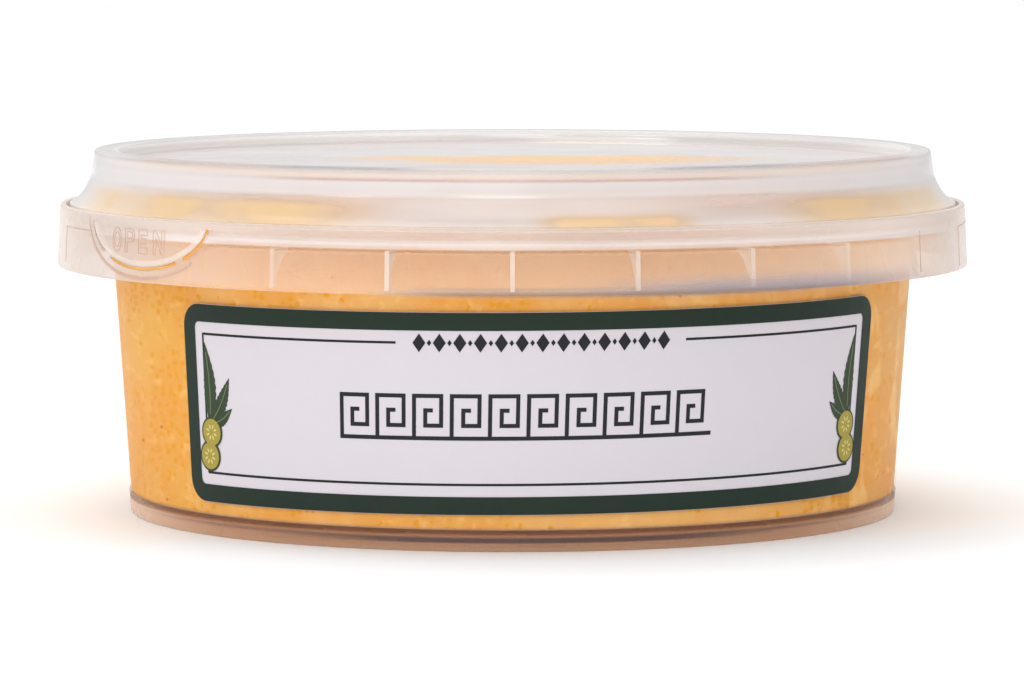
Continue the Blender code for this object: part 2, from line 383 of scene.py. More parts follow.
def tub_profile():
    """From the middle of the floor up the inside, over the rim and down the outside."""
    return rounded([
        (0, FLOOR_TOP),
        (wall_inside(FLOOR_TOP), FLOOR_TOP, FLOOR_FILLET),
        (wall_inside(TUB_TOP), TUB_TOP, 0.35),
        (BEAD_RADIUS, TUB_TOP, 0.4),
        (BEAD_RADIUS, BEAD_BOTTOM, 0.35),
        (wall_outside(BEAD_BOTTOM), BEAD_BOTTOM, 0.2),
        (wall_outside(FLANGE_TOP), FLANGE_TOP, 0.5),
        (skirt_inside(FLANGE_TOP), FLANGE_TOP, 0.5),
        (skirt_inside(SKIRT_TOP), SKIRT_TOP, 0.25),
        (SKIRT_TOP_RADIUS, SKIRT_TOP, 0.3),
        (SKIRT_BOTTOM_RADIUS, SKIRT_BOTTOM, 0.3),
        (skirt_inside(SKIRT_BOTTOM), SKIRT_BOTTOM, 0.3),
        (skirt_inside(FLANGE_UNDER), FLANGE_UNDER, 0.5),
        (wall_outside(FLANGE_UNDER), FLANGE_UNDER, 0.5),
        (FOOT_RADIUS, 0, 0.3),
        (FOOT_RADIUS - WALL, 0, 0.3),
        (FOOT_RADIUS - WALL, FLOOR_UNDER, 0.5),
        (0, FLOOR_UNDER),
    ])


def gusset(angle_deg):
    """A thin web in the corner under the flange, with a curved free edge."""
    half = GUSSET_THICKNESS / 2
    low = SKIRT_BOTTOM + 0.4
    foot = (skirt_inside(low) - 0.25, low)
    top = (skirt_inside(FLANGE_UNDER) - GUSSET_REACH, FLANGE_UNDER - 0.2)
    edge = bend_curve(foot, (foot[0] - 0.4, top[1] - 1.2), top, 6)
    corners = edge + [
        (top[0], FLANGE_UNDER + OVERLAP),
        (skirt_inside(FLANGE_UNDER) + OVERLAP, FLANGE_UNDER + OVERLAP),
        (skirt_inside(low) + OVERLAP, low),
    ]
    web = bmesh.new()
    face = web.faces.new([web.verts.new((-half * MM, -r * MM, z * MM)) for r, z in corners])
    raised = bmesh.ops.extrude_face_region(web, geom=[face])["geom"]
    moved = [part for part in raised if isinstance(part, bmesh.types.BMVert)]
    bmesh.ops.translate(web, verts=moved, vec=(2 * half * MM, 0, 0))
    bmesh.ops.recalc_face_normals(web, faces=web.faces)
    obj = new_object("gusset", written(web, bpy.data.meshes.new("gusset")))
    obj.rotation_euler.z = math.radians(angle_deg)
    return obj


def tab_edge(turn_deg, inset):
    """Angle and height on the tab's half-oval edge; 0 turns at its left end, 180 at its right."""
    turn = math.radians(turn_deg)
    depth = TAB_DEPTH - inset
    half = TAB_HALF_ANGLE - math.degrees(inset / SKIRT_BOTTOM_RADIUS)
    return TAB_CENTRE - half * math.cos(turn), SKIRT_TOP - depth * math.sin(turn)


def tab_slot(start_deg, end_deg):
    """Cutter for one of the slots that part the tab from the skirt."""
    inner, outer = SKIRT_TOP_RADIUS - WALL - 0.6, SKIRT_TOP_RADIUS + 1.0

    def place(u, v):
        angle, z = tab_edge(start_deg + u * (end_deg - start_deg), 0)
        return on_cylinder(angle, inner + v * (outer - inner), z)

    return skin("slot", grid_strips(14, 1, place), TAB_SLOT, offset=0)


def tab_lip():
    """Rounded lip along the tab's lower edge, highest along its middle."""
    columns = 40
    across = ((0.3, -0.45), (0.34, 0.06), (0.45, 0.14), (0.8, 0.14), (0.95, 0.06), (1.0, -0.45))

    def rail(inset, lift):
        insets = [0.3 + (inset - 0.3) * (0.7 + 0.6 * i / columns) for i in range(columns + 1)]
        edge = [tab_edge(12 + 156 * i / columns, width) for i, width in enumerate(insets)]
        return [on_skirt(angle, z, lift) for angle, z in edge]

    rails = [rail(inset, lift) for inset, lift in across]
    strips = list(zip(rails, rails[1:] + rails[:1]))
    lip = new_object("tab_lip", strips_mesh(strips))
    shell = bmesh.new()
    shell.from_mesh(lip.data)
    bmesh.ops.holes_fill(shell, edges=shell.edges, sides=12)
    bmesh.ops.recalc_face_normals(shell, faces=shell.faces)
    written(shell, lip.data)
    return smooth(lip, 50)


def flange_notch():
    """Cutter that frees the tab from the flange behind it."""
    def place(u, v):
        angle = TAB_CENTRE + (2 * u - 1) * (TAB_HALF_ANGLE - 2)
        radius = skirt_inside(FLANGE_TOP) - (1 - v) * NOTCH_REACH
        return on_cylinder(angle, radius, (FLANGE_TOP + FLANGE_UNDER) / 2)

    return skin("notch", grid_strips(12, 1, place), 3 * WALL, offset=0)


def make_tub():
    tub = turned("tub_body", tub_profile())
    slots = [
        tab_slot(before + TAB_BRIDGE_HALF, after - TAB_BRIDGE_HALF)
        for before, after in zip(TAB_BRIDGES, TAB_BRIDGES[1:])
    ]
    cut_away(tub, slots + [flange_notch()])
    return smooth(tub)


def make_webs():
    """The webs that brace the flange all round, except at the tear tab."""
    tab_left, tab_right = TAB_CENTRE - TAB_HALF_ANGLE, TAB_CENTRE + TAB_HALF_ANGLE
    turns = range(-180, 180, GUSSET_PITCH)
    webs = [gusset(turn) for turn in turns if not tab_left < turn < tab_right]
    return joined("skirt_webs", webs)


# The lid


def lid_profile():
    """From the middle of the panel over the rim and down the apron, then back underneath."""
    top = rounded([
        (0, PANEL_TOP),
        (RIM_INNER, PANEL_TOP, 0.8),
        (RIM_INNER + 0.25, LID_TOP, 0.7),
        (RIM_OUTER, LID_TOP, 0.35),
        (54.57, 44.1, 0.01),
        (*FLARE_TOP, 0.01),
    ])
    flare = bend_curve(FLARE_TOP, (55.6, 40.9), (57.3, 40.15), 12)
    apron = rounded([
        (57.35, 40.12),
        (APRON_RADIUS, 40.0, 0.08),
        (APRON_RADIUS, APRON_BOTTOM, 0.25),
        (APRON_RADIUS - WALL, APRON_BOTTOM, 0.25),
        (APRON_RADIUS - WALL, APRON_SHELF, 0.2),
        (56.5, 39.45),
    ])
    under_flare = bend_curve((56.4, 39.45), (55.0, 40.2), (53.95, 42.5), 10)
    channel = rounded([
        (53.9, 42.6),
        (53.5, 43.1, 0.2),
        (53.55, 45.6, 0.3),
        (53.0, LID_TOP - WALL, 0.3),
        (RIM_INNER + WALL, LID_TOP - WALL, 0.3),
        (RIM_INNER + WALL - 0.1, PANEL_TOP - WALL, 0.3),
        (0, PANEL_TOP - WALL),
    ])
    return top[:-1] + flare + apron[1:] + under_flare + channel[1:]


def make_lid():
    return smooth(turned("lid_shell", lid_profile()))


# The dip


def dip_top(x, y):
    """Height of the dip's surface: soft waves, a dent at the front and spoon marks."""
    away = (x - DENT_CENTRE[0]) ** 2 + (y - DENT_CENTRE[1]) ** 2
    dent = DENT_DEPTH * math.exp(-away / (2 * DENT_SPREAD**2))
    swell = math.sin(0.11 * x + 0.9) * math.cos(0.09 * y - 0.4)
    ripple = math.sin(0.23 * x - 0.17 * y + 2.0)
    lumps = 0.22 * noise.noise(Vector((x, y, 0)) * 0.16)
    lumps += 0.1 * noise.noise(Vector((x, y, 7)) * 0.5)
    height = DIP_LEVEL + DIP_WAVE * (swell + ripple / 2) + lumps - dent
    return min(height, PANEL_TOP - DIP_CLEARANCE)


def make_dip():
    bottom = FLOOR_TOP - 0.1
    edge = wall_inside(DIP_LEVEL) + DIP_INTO_WALL
    surface = [(edge * i / DIP_RINGS, DIP_LEVEL) for i in range(DIP_RINGS + 1)]
    side = rounded([
        (edge, DIP_LEVEL),
        (wall_inside(DIP_LEVEL - 4) + DIP_INTO_WALL, DIP_LEVEL - 4, 0.5),
        (wall_inside(FLOOR_TOP) + DIP_INTO_WALL, bottom, 0.5),
        (0, bottom),
    ], 6)
    dip = turned("dip_fill", surface + side[1:])
    for vert in dip.data.vertices:
        x, y, z = vert.co / MM
        if z > DIP_LEVEL - 0.01:
            z = dip_top(x, y)
            reach = math.hypot(x, y)
            if reach > edge - 0.01:
                share = (wall_inside(z) + DIP_INTO_WALL) / reach
                x, y = x * share, y * share
            vert.co = Vector((x, y, z)) * MM
    return smooth(dip, 60)


# The label and its print


def label_outline(inset, corner, steps=8):
    """Points round a rectangle with rounded corners, inset from the label's edge."""
    half_width, half_height = LABEL_HALF_WIDTH - inset, LABEL_HALF_HEIGHT - inset
    points = []
    for sign_x, sign_y, start in ((1, 1, 0), (-1, 1, 90), (-1, -1, 180), (1, -1, 270)):
        centre = Vector((sign_x * (half_width - corner), sign_y * (half_height - corner)))
        points += [centre + heading(start + 90 * i / steps) * corner for i in range(steps + 1)]
    return points


def make_label():
    """Thin paper on the tapered wall, with rounded corners."""
    turns = [math.pi / 2 * i / CORNER_COLUMNS for i in range(CORNER_COLUMNS + 1)]
    ends = [LABEL_CORNER * (1 - math.cos(turn)) for turn in turns]
    straight = LABEL_HALF_WIDTH - LABEL_CORNER
    middle = [straight * (2 * i / LABEL_COLUMNS - 1) for i in range(1, LABEL_COLUMNS)]
    columns = [end - LABEL_HALF_WIDTH for end in ends] + middle
    columns += [LABEL_HALF_WIDTH - end for end in ends[::-1]]

    def place(u, v):
        across = columns[round(u * (len(columns) - 1))]
        into = max(0.0, abs(across) - straight)
        cut = LABEL_CORNER - math.sqrt(max(0.0, LABEL_CORNER**2 - into**2))
        return on_label(across, (2 * v - 1) * (LABEL_HALF_HEIGHT - cut), 0)

    strips = grid_strips(len(columns) - 1, LABEL_ROWS, place)
    return smooth(skin("label_paper", strips, LABEL_THICKNESS))


def printed(name, rails, lift):
    """A thin layer of ink on the label, from pairs of rails in its flat plane."""
    strips = placed_strips(rails, lambda p: on_label(p.x, p.y, lift))
    return smooth(skin(name, strips, PRINT_THICKNESS * 1.5))


def border_rails():
    """A wide border along the label's edge."""
    outer = label_outline(0.05, LABEL_CORNER - 0.05)
    inner = label_outline(BORDER_WIDTH, BORDER_CORNER)
    rails = [[], []]
    for i in range(len(outer)):
        after = (i + 1) % len(outer)
        pieces = max(1, math.ceil((outer[after] - outer[i]).length / LINE_STEP))
        for rail, outline in zip(rails, (outer, inner)):
            rail += [outline[i].lerp(outline[after], k / pieces) for k in range(pieces)]
    return [tuple(rail + rail[:1] for rail in rails)]


def rule_rails():
    """A thin rule inside the border, broken in the middle of its top run."""
    outline = dense(label_outline(RULE_INSET, 0.05, 1), LINE_STEP, closed=True)
    start = min(range(len(outline)), key=lambda i: (outline[i] - Vector((0, 99))).length)
    path = outline[start:] + outline[:start]
    top = LABEL_HALF_HEIGHT - RULE_INSET - 0.1
    return [ribbon_rails([p for p in path if p.y < top or abs(p.x) > RULE_HALF_GAP], RULE_WIDTH)]


def key_rails(middle, length, height, units, width):
    """A running key fret: a base rule with square hooks standing on it."""
    pitch = length / units
    left = middle.x - length / 2
    low = middle.y - height / 2
    paths = [[(left - width / 2, low), (left + length, low)]]
    hook = ((0, 0), (0, 1), (0.72, 1), (0.72, 0.3), (0.3, 0.3), (0.3, 0.66), (0.5, 0.66))
    for unit in range(units):
        paths.append([(left + pitch * (unit + x), low + height * y) for x, y in hook])
    return [ribbon_rails(dense(path, LINE_STEP), width) for path in paths]


def lozenge_rails(middle, half_width, half_height, steps=8):
    """A lozenge, from its left corner to its right one."""
    shares = [2 * i / steps - 1 for i in range(steps + 1)]
    edge = [Vector((half_width * share, half_height * (1 - abs(share)))) for share in shares]
    return [middle + p for p in edge], [middle + Vector((p.x, -p.y)) for p in edge]


def heading(angle_deg):
    """Unit vector in the label's flat plane, at an angle from its baseline."""
    return Vector((math.cos(math.radians(angle_deg)), math.sin(math.radians(angle_deg))))


def leaf_line(base, angle_deg, length, bend, shares):
    """Points on a leaf's curved middle line, and the way across it."""
    along, side = heading(angle_deg), heading(angle_deg + 90)
    arcs = [side * bend * math.sin(math.pi * t) for t in shares]
    return [base + along * length * t + arc for t, arc in zip(shares, arcs)], side


def leaf_rails(base, angle_deg, length, width, bend, steps=22):
    """A broad leaf with toothed edges, from its stalk to its tip."""
    shares = [i / steps for i in range(steps + 1)]
    line, side = leaf_line(base, angle_deg, length, bend, shares)
    left, right = [], []
    for i, (t, centre) in enumerate(zip(shares, line)):
        tooth = 1 - 0.14 * (i % 2)
        half = width / 2 * math.sin(math.pi * min(1, t**0.8)) * tooth + 0.02
        left.append(centre + side * half)
        right.append(centre - side * half)
    return left, right


def vein_rails(base, angle_deg, length, bend):
    """The pale middle vein of a leaf."""
    shares = [0.12 + 0.76 * i / 12 for i in range(13)]
    return ribbon_rails(leaf_line(base, angle_deg, length, bend, shares)[0], 0.14)


def slice_seeds(middle):
    """Pointed seeds in a ring round the middle of a cucumber slice."""
    turns = [45 * i + 22.5 for i in range(8)]
    return [leaf_rails(middle + heading(turn) * 0.45, turn, 0.62, 0.24, 0.0) for turn in turns]


def disc_rails(middle, radius, steps=32):
    """A round spot of ink."""
    ways = [heading(360 * i / steps) for i in range(steps + 1)]
    return [middle + way * 0.001 for way in ways], [middle + way * radius for way in ways]


# The tear tab's marks


def letter_outlines():
    """Hollow capitals on a unit square: the outlines of O, P, E and N."""
    stroke = 0.24

    def arc(middle, wide, high, start, turn, steps):
        ways = [heading(start + turn * i) for i in range(steps)]
        return [(middle[0] + wide * way.x, middle[1] + high * way.y) for way in ways]

    outer, inner = 0.5, 0.5 - stroke * 0.8
    bowl = arc((0.6, 0.72), 0.38, 0.28, 90, -18, 11)
    counter = arc((0.6, 0.72), 0.2, 0.13, 90, -36, 6)
    return [
        [arc((0.5, 0.5), half, half, 0, 15, 24) for half in (outer, inner)],
        [
            [(0, 0), (0, 1)] + bowl + [(stroke, 0.44), (stroke, 0)],
            [(stroke, 0.85)] + counter + [(stroke, 0.59)],
        ],
        [[
            (0, 0), (0, 1), (0.85, 1), (0.85, 1 - stroke), (stroke, 1 - stroke), (stroke, 0.62),
            (0.7, 0.62), (0.7, 0.4), (stroke, 0.4), (stroke, stroke), (0.85, stroke), (0.85, 0),
        ]],
        [[
            (0, 0), (0, 1), (0.26, 1), (0.76, 0.32), (0.76, 1), (1, 1),
            (1, 0), (0.74, 0), (0.24, 0.68), (0.24, 0),
        ]],
    ]


def make_tab_marks():
    """Fine raised outlines on the tear tab, and the ridge round it."""
    strips = []

    def on_tab(point):
        angle = LETTER_CENTRE[0] + math.degrees(point.x / SKIRT_TOP_RADIUS)
        return on_skirt(angle, LETTER_CENTRE[1] + point.y, MARK_LIFT)

    for place, outlines in enumerate(letter_outlines()):
        left = (place - 1.5) * LETTER_PITCH - LETTER_WIDTH / 2
        for outline in outlines:
            path = [(left + LETTER_WIDTH * x, LETTER_HEIGHT * (y - 0.5)) for x, y in outline]
            rails = ribbon_rails(dense(path, 0.5, closed=True), MARK_WIDTH, closed=True)
            strips += placed_strips([rails], on_tab)
    ridge = [tab_edge(turn, -RIDGE_OUTSET) for turn in range(4, 140, 4)]
    strips.append([[on_skirt(angle, z + up, 0.1) for angle, z in ridge] for up in (0.2, -0.2)])
    for path in (
        [(-64, 37.7), (-74.9, 37.7), (-74.9, 33.2)],
        [(59.9, 32.8), (59.9, 38.0)],
        [(75.0, 32.6), (75.0, 37.6), (88.0, 37.9)],
    ):
        rails = ribbon_rails(dense(path, 2.0), 0.16)
        strips += placed_strips([rails], lambda p: on_skirt(p.x, p.y, MARK_LIFT))
    return smooth(skin("tab_marks", strips, MARK_THICKNESS))


def make_slot_fills():
    """Thin lines of dip caught in the slots below the tab."""
    strips = []
    for start, end, widest in SLOT_FILLS:
        rails = [[], []]
        for i in range(25):
            turn = start + (end - start) * i / 24
            half = widest / 2 * min(1, 0.3 + 4 * math.sin(math.pi * i / 24))
            for rail, inset in zip(rails, (half - 0.04, -half - 0.04)):
                angle, z = tab_edge(turn, inset)
                rail.append(on_skirt(angle, z, -0.08))
        strips.append(rails)
    return smooth(skin("slot_fills", strips, 0.12))


# Shader groups and materials


def colour(red, green, blue):
    """Linear colour, with alpha, of a colour given as it shows on screen, 0 to 255."""
    channels = [c / 255 for c in (red, green, blue)]
    linear = [c / 12.92 if c <= 0.04045 else ((c + 0.055) / 1.055) ** 2.4 for c in channels]
    return (*linear, 1.0)


def plug(socket, value):
    """Links an output to the socket, or sets the socket to a plain value."""
    if isinstance(value, bpy.types.NodeSocket):
        socket.id_data.links.new(value, socket)
    else:
        socket.default_value = value


def plug_all(sockets, values):
    for name, value in dict(values).items():
        plug(sockets[name], value)


def tree_of(*values):
    """The node tree of the first socket among some values."""
    return next(value.id_data for value in values if isinstance(value, bpy.types.NodeSocket))


def add(tree, kind, inputs=(), **settings):
    """Adds a shader node of a kind, with its settings and what goes into it."""
    made = tree.nodes.new("ShaderNode" + kind)
    for name, value in settings.items():
        setattr(made, name, value)
    plug_all(made.inputs, inputs)
    return made


def math_of(operation, first, second=0.0, third=0.0):
    made = add(tree_of(first, second, third), "Math", operation=operation)
    for socket, value in zip(made.inputs, (first, second, third)):
        plug(socket, value)
    return made.outputs[0]


def product(first, *others):
    for other in others:
        first = math_of("MULTIPLY", first, other)
    return first


def highest(first, *others):
    for other in others:
        first = math_of("MAXIMUM", first, other)
    return first


def shifted(value, mask, amount):
    """The value, moved by an amount where the mask is full."""
    return math_of("MULTIPLY_ADD", mask, amount, value)


def rest_of(share):
    return math_of("SUBTRACT", 1.0, share)


def away_from(value, centre):
    """How far the value lies from a centre, to either side."""
    return math_of("ABSOLUTE", math_of("SUBTRACT", value, centre))


def blend(share, first, second):
    """Mixes two colours."""
    made = add(tree_of(share, first, second), "Mix", data_type="RGBA")
    for place, value in ((0, share), (6, first), (7, second)):
        plug(made.inputs[place], value)
    return made.outputs[2]


def painted(base, mask, strength, paint):
    return blend(product(mask, strength), base, paint)


def layered(tint, layers):
    """Paints layers over a tint, one after the other: (mask, strength, colour on screen)."""
    for mask, strength, paint in layers:
        tint = painted(tint, mask, strength, colour(*paint))
    return tint


def ramp(value, low, high, to_low=0.0, to_high=1.0, kind="SMOOTHSTEP"):
    """Turns a value into a mask that rises from low to high."""
    return add(value.id_data, "MapRange", {
        "Value": value, "From Min": low, "From Max": high, "To Min": to_low, "To Max": to_high,
    }, interpolation_type=kind).outputs["Result"]


def falls(value, low, high):
    """Turns a value into a mask that is full below low and gone above high."""
    return ramp(value, low, high, 1.0, 0.0)


def axes(vector):
    """The X, Y and Z of a vector."""
    split = add(vector.id_data, "SeparateXYZ", {"Vector": vector})
    return [split.outputs[name] for name in "XYZ"]


def noise_of(vector, scale, detail=3.0, roughness=0.5):
    return add(vector.id_data, "TexNoise", {
        "Vector": vector, "Scale": scale, "Detail": detail, "Roughness": roughness,
    }).outputs["Fac"]


def swing(cloud, reach):
    """Noise moved so that it swings to both sides of nought."""
    return product(math_of("SUBTRACT", cloud, 0.5), reach)


def cells_of(vector, scale):
    """Distance from the nearest of many scattered points, and that point's random numbers."""
    made = add(vector.id_data, "TexVoronoi", {
        "Vector": vector, "Scale": scale, "Randomness": 1.0,
    })
    return made.outputs["Distance"], axes(made.outputs["Color"])


def millimetres(tree):
    """Object coordinates in millimetres."""
    coordinates = add(tree, "TexCoord").outputs["Object"]
    scaled = add(tree, "VectorMath", {0: coordinates, "Scale": 1 / MM}, operation="SCALE")
    return scaled.outputs[0]


def bump(height, strength, distance):
    """Relief whose distance is in millimetres."""
    return add(height.id_data, "Bump", {
        "Height": height, "Strength": strength, "Distance": distance * MM,
    }).outputs["Normal"]


def shader_group(name, inputs, values, colours=()):
    """A group with named inputs and their first values, and named outputs."""
    tree = bpy.data.node_groups.new(name, "ShaderNodeTree")
    for label, value in inputs:
        kind = "NodeSocketFloat" if isinstance(value, float) else "NodeSocketColor"
        socket = tree.interface.new_socket(label, in_out="INPUT", socket_type=kind)
        socket.default_value = value
    for kind, labels in (("NodeSocketColor", colours), ("NodeSocketFloat", values)):
        for label in labels:
            tree.interface.new_socket(label, in_out="OUTPUT", socket_type=kind)
    given = tree.nodes.new("NodeGroupInput").outputs
    wanted = tree.nodes.new("NodeGroupOutput").inputs
    return tree, given, wanted


def place_group(tree, group, inputs=()):
    return add(tree, "Group", inputs, node_tree=group).outputs


def position_group():
    """Height above the floor, turn from the front and reach from the axis, in mm and degrees."""
    tree, _, wanted = shader_group("position on tub", (), ("Height", "Turn", "Reach"))
    x, y, z = axes(millimetres(tree))
    turn = math_of("ARCTAN2", x, product(y, -1.0))
    squares = math_of("ADD", product(x, x), product(y, y))
    plug_all(wanted, {
        "Height": z,
        "Turn": math_of("DEGREES", turn),
        "Reach": math_of("SQRT", squares),
    })
    return tree


def milky_group():
    """Uneven milkiness and polish of thin moulded plastic, with a slow ripple."""
    tree, given, wanted = shader_group(
        "milky plastic",
        (("Haze", 0.2), ("Cloud", 0.3), ("Cloud Size", 12.0)),
        ("Haze", "Ripple", "Roughness"),
    )
    place = millimetres(tree)
    cloud = noise_of(place, math_of("DIVIDE", 1.0, given["Cloud Size"]), 2.0)
    factor = math_of("ADD", 1.0, swing(cloud, given["Cloud"]))
    haze = add(tree, "Clamp", {"Value": product(given["Haze"], factor)})
    plug_all(wanted, {
        "Haze": haze.outputs[0],
        "Ripple": noise_of(place, 0.1, 1.0),
        "Roughness": ramp(cloud, 0.3, 0.7, 0.22, 0.36, "LINEAR"),
    })
    return tree


def creamy_group():
    """Colour and relief of the spiced dip: mottled cream, golden flecks, specks and smears.

    Below the surface the pattern is drawn out along Y, so that it isn't crowded at the sides.
    """
    tree, given, wanted = shader_group(
        "creamy dip",
        (
            ("Cream", colour(238, 178, 90)), ("Pale", colour(247, 203, 128)),
            ("Deep", colour(229, 160, 74)), ("Fleck", colour(226, 154, 8)),
            ("Speck", colour(140, 70, 25)), ("Fleck Amount", 0.5), ("Smears", 0.0),
        ),
        ("Height",), ("Color",),
    )
    x, y, z = axes(millimetres(tree))
    drawn_out = product(y, ramp(z, 40.6, 40.9, 0.3, 1.0))
    place = add(tree, "CombineXYZ", {"X": x, "Y": drawn_out, "Z": z}).outputs[0]
    broad = noise_of(place, 0.09, 3.0, 0.55)
    middle = noise_of(place, 0.6, 4.0, 0.6)
    fine = noise_of(place, 3.0, 2.0)
    base = blend(ramp(broad, 0.35, 0.65), given["Deep"], given["Cream"])
    base = blend(ramp(middle, 0.5, 0.75, 0.0, 0.5), base, given["Pale"])
    base = blend(ramp(fine, 0.5, 0.8, 0.0, 0.35), base, given["Deep"])
    crowd = product(given["Fleck Amount"], ramp(broad, 0.42, 0.58, 1.6, 0.25))
    base = painted(base, crowd, 0.3, given["Fleck"])
    fleck_away, fleck_draw = cells_of(place, 1.1)
    chosen = math_of("LESS_THAN", fleck_draw[0], crowd)
    ragged = math_of("ADD", fleck_away, swing(fine, 0.5))
    fleck = product(falls(ragged, 0.28, 0.5), chosen)
    base = painted(base, fleck, 0.9, given["Fleck"])
    speck_away, speck_draw = cells_of(place, 0.55)
    rare = math_of("LESS_THAN", speck_draw[1], 0.22)
    speck = product(falls(speck_away, 0.07, 0.13), rare)
    base = painted(base, speck, 0.7, given["Speck"])
    tilted = add(tree, "Mapping", {
        "Vector": place, "Rotation": (0.0, 0.45, 0.0), "Scale": (1.0, 0.5, 0.28),
    }).outputs[0]
    wiped = ramp(noise_of(tilted, 0.45, 2.0, 0.4), 0.56, 0.63)
    lumps = math_of("ADD", middle, product(fleck, 0.35))
    plug_all(wanted, {
        "Color": painted(base, wiped, given["Smears"], given["Pale"]),
        "Height": math_of("ADD", lumps, product(fine, 0.3)),
    })
    return tree


def ink_group():
    """A printed colour with the slight unevenness of ink on coated paper."""
    tree, given, wanted = shader_group(
        "printed ink",
        (("Ink", colour(48, 62, 54)), ("Unevenness", 0.1)),
        ("Roughness",), ("Color",),
    )
    place = millimetres(tree)
    cloud = noise_of(place, 0.35, 4.0, 0.6)
    mottle = math_of("ADD", cloud, product(noise_of(place, 5.0, 1.0), 0.5))
    plug_all(wanted, {
        "Color": painted(given["Ink"], mottle, given["Unevenness"], (1, 1, 1, 1)),
        "Roughness": ramp(cloud, 0.3, 0.7, 0.32, 0.5, "LINEAR"),
    })
    return tree


def new_material(name):
    material = bpy.data.materials.new(name)
    material.use_nodes = True
    tree = material.node_tree
    return material, tree, tree.nodes["Principled BSDF"].inputs


def shows_at_grazing(haze, gain):
    """The share of the surface that shows: its haze, and more of it where it is seen edge on."""
    facing = add(haze.id_data, "LayerWeight", {"Blend": 0.5}).outputs["Facing"]
    edge_on = product(math_of("POWER", facing, EDGE_POWER), gain)
    passed = product(rest_of(haze), highest(rest_of(edge_on), 0.0))
    return rest_of(passed)


def glows_through(shown):
    """Lets lamps through more of milky plastic than the eye sees through, as scattering does."""
    shadow = add(shown.id_data, "LightPath").outputs["Is Shadow Ray"]
    return product(shown, rest_of(product(shadow, GLOW_SHARE)))


def turn_mask(turn, centre, half, fade):
    """Mask of a stretch of angles round the tub, soft at both ends."""
    return falls(away_from(turn, centre), half - fade, half)


def patch(at, low, high, softness, *stretch):
    """Mask of a soft band of heights, kept to a stretch of angles (centre, half, fade) if given."""
    rises = ramp(at["Height"], low, low + softness)
    mask = product(rises, falls(at["Height"], high - softness, high))
    return product(mask, turn_mask(at["Turn"], *stretch)) if stretch else mask


def by_height(at, stops):
    """Colour and haze that change with height, from stops (height, colour, haze)."""
    share = math_of("DIVIDE", at["Height"], RAMP_TOP)
    made = add(share.id_data, "ValToRGB", {"Fac": share})
    elements = made.color_ramp.elements
    while len(elements) < len(stops):
        elements.new(0.5)
    for element, (height, _, _) in zip(elements, stops):
        element.position = height / RAMP_TOP
    for element, (_, paint, haze) in zip(elements, stops):
        element.color = (*colour(*paint)[:3], haze)
    return made.outputs["Color"], made.outputs["Alpha"]


def tub_material(groups):
    """Milky plastic: a clear wall over a denser foot, a skirt and flange milkier than both, painted
    shade.
    """
    material, tree, shader = new_material("tub_polypropylene")
    at = place_group(tree, groups["position"])
    foot, recess_shade, glint, line = (212, 162, 126), (170, 126, 104), (228, 168, 122), (148, 96, 66)
    wall, skirt, pale, rim = (240, 226, 217), (246, 230, 220), (242, 232, 228), (238, 200, 165)
    ribbed, under, edge = (243, 211, 184), (246, 204, 168), (214, 198, 186)
    tint, haze = by_height(at, (
        # Painted shade: the foot, the recess under the floor and the floor's edge are tinted dark
        # brown;
        # the glint stop is a painted highlight along the floor's underside.
        (1.3, foot, 0.38), (1.4, recess_shade, 0.38), (1.8, recess_shade, 0.38), (1.9, glint, 0.38),
        (2.02, glint, 0.4), (2.1, line, 0.52), (2.75, line, 0.52), (2.87, wall, 0.018),
        (31.7, wall, 0.018), (32.0, ribbed, 0.2), (36.7, ribbed, 0.18), (36.85, under, 0.14),
        # The pale stops are milkier plastic where the flange meets the skirt, partly a painted
        # highlight of its lit line.
        (37.3, under, 0.14), (37.5, pale, 0.55), (38.1, pale, 0.5), (38.6, skirt, 0.12),
        # The edge stops are painted shade that darkens the skirt's lit top face.
        (39.5, skirt, 0.12), (39.8, edge, 0.3), (40.3, edge, 0.3), (40.6, wall, 0.018),
        # The rim stop's orange is a painted reflection of the dip's colour inside the bead.
        (44.4, wall, 0.018), (44.9, rim, 0.22),
    ))
    milk = place_group(tree, groups["milky"], {"Haze": haze, "Cloud": 0.4, "Cloud Size": 9.0})
    on_skirt_band = patch(at, 31.7, 40.6, 0.3)
    skirt_side_shade = ramp(away_from(at["Turn"], 5.0), 44.0, 68.0)
    on_foot = falls(at["Height"], 1.85, 2.0)
    foot_ends = ramp(math_of("ABSOLUTE", at["Turn"]), 42.0, 76.0)
    seat_shade = patch(at, 0.9, 1.9, 0.3, 4.0, 50.0, 34.0)
    lavender = patch(at, 30.0, 34.6, 2.2, 36.0, 34.0, 26.0)
    low_edge_shade = patch(at, 31.0, 32.6, 0.35, 16.0, 38.0, 16.0)
    tint = layered(tint, (
        # Painted shade: the skirt is greyer and darker towards the sides.
        (product(on_skirt_band, skirt_side_shade), 1.0, (217, 201, 191)),
        # The foot's painted shade is lightened towards the sides, so it is darkest at the front.
        (product(on_foot, foot_ends), 0.7, (236, 202, 174)),
        # Painted shadow in the recess under the floor, at the front.
        (seat_shade, 1.0, (96, 70, 66)),
        (lavender, 1.0, (178, 168, 175)),
        # Painted shade along the skirt's lower edge, at the front and right.
        (low_edge_shade, 0.8, (140, 120, 112)),
    ))
    haze = shifted(shifted(milk["Haze"], seat_shade, 0.4), low_edge_shade, 0.35)
    haze = math_of("MINIMUM", shifted(haze, lavender, 0.24), 1.0)
    gain = shifted(0.04, ramp(at["Height"], 31.5, 32.0), 1.3)
    gain = shifted(gain, on_foot, 0.9)
    plug_all(shader, {
        "Base Color": tint,
        "Roughness": milk["Roughness"],
        "Alpha": glows_through(shows_at_grazing(haze, gain)),
        "Normal": bump(milk["Ripple"], 0.1, 0.3),
    })
    return material


